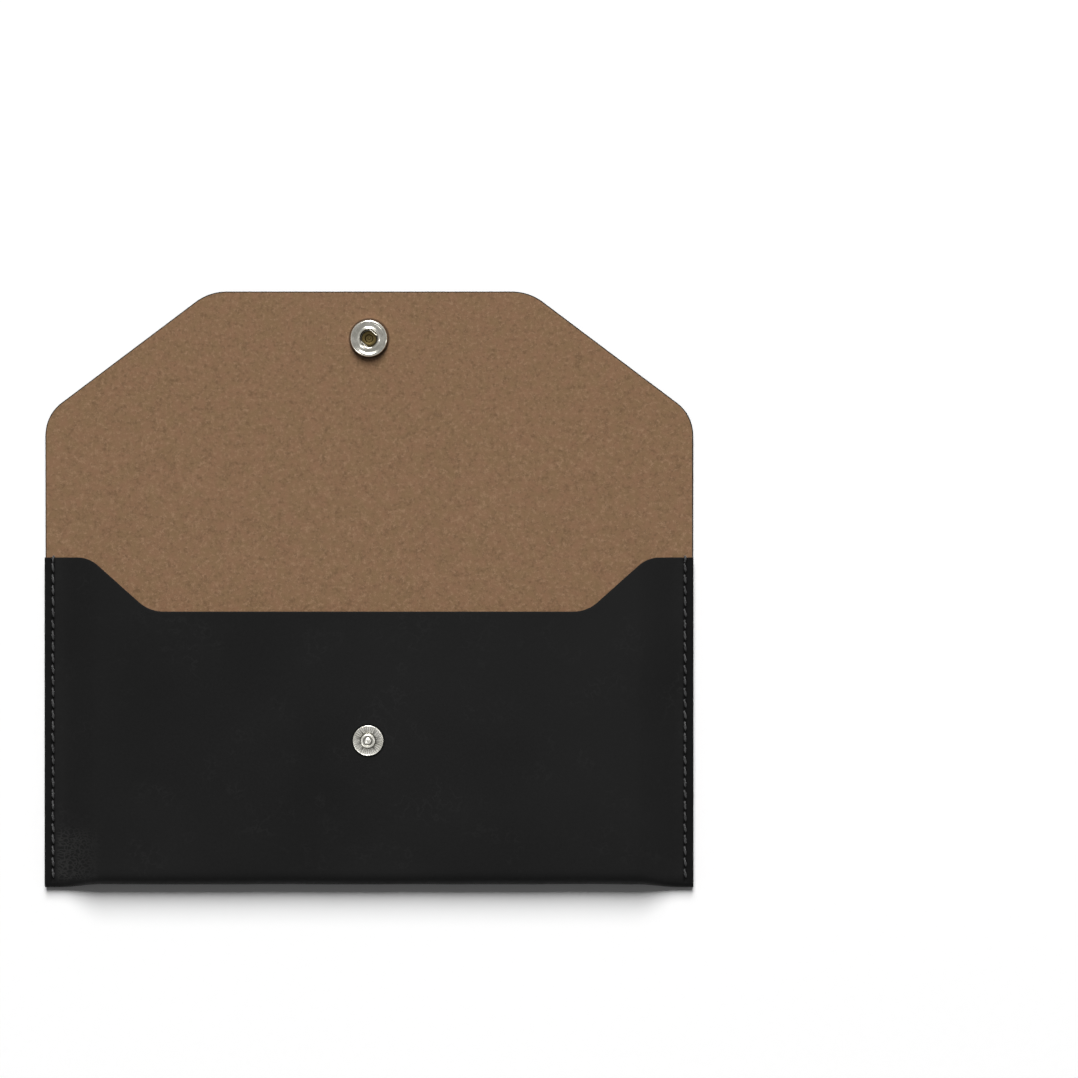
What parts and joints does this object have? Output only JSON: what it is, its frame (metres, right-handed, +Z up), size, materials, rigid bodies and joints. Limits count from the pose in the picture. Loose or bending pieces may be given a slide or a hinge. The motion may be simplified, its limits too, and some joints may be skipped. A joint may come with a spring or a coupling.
{
  "type": "cash envelope wallet",
  "caption": "Long envelope wallet in black sheet with a brown lining: a sewn pocket with a scooped mouth, and a pointed flap that folds over and closes with a metal snap.",
  "frame": {"origin": "on the surface that the wallet lies on, under the middle of its open length and width", "axes": "+X across the wallet's width, +Y from the bottom fold to the tip of the open flap, +Z up out of the front panel"},
  "size_m": [0.176, 0.1618, 0.0091],
  "materials": {
    "black_sheet": "smooth black leather look with a fine grain, low sheen",
    "brown_lining": "matt brown suede-like lining with a short nap",
    "thread": "twisted black sewing thread",
    "satin_nickel": "satin nickel",
    "bright_nickel": "polished nickel, slightly warm",
    "spring_wire": "bright spring wire"
  },
  "bodies": {
    "pocket": {"pocket_shell": "black_sheet", "pocket_lining": "brown_lining", "left_seam_thread": "thread", "right_seam_thread": "thread", "snap_stud": "bright_nickel", "snap_post": "bright_nickel"},
    "strip": {"strip_shell": "black_sheet", "strip_lining": "brown_lining"},
    "flap": {"flap_shell": "black_sheet", "flap_lining": "brown_lining", "snap_cap": "satin_nickel", "snap_socket": "bright_nickel", "socket_spring": "spring_wire"}
  },
  "joints": [
    {"name": "pocket_crease", "type": "hinge", "parent": "pocket", "child": "strip", "pos_m": [0, 0.00911, 0.0012], "axis": [1, 0, 0], "range_deg": [0, 90]},
    {"name": "flap_crease", "type": "hinge", "parent": "strip", "child": "flap", "pos_m": [0, 0.01839, 0.0013], "axis": [1, 0, 0], "range_deg": [0, 90]}
  ]
}
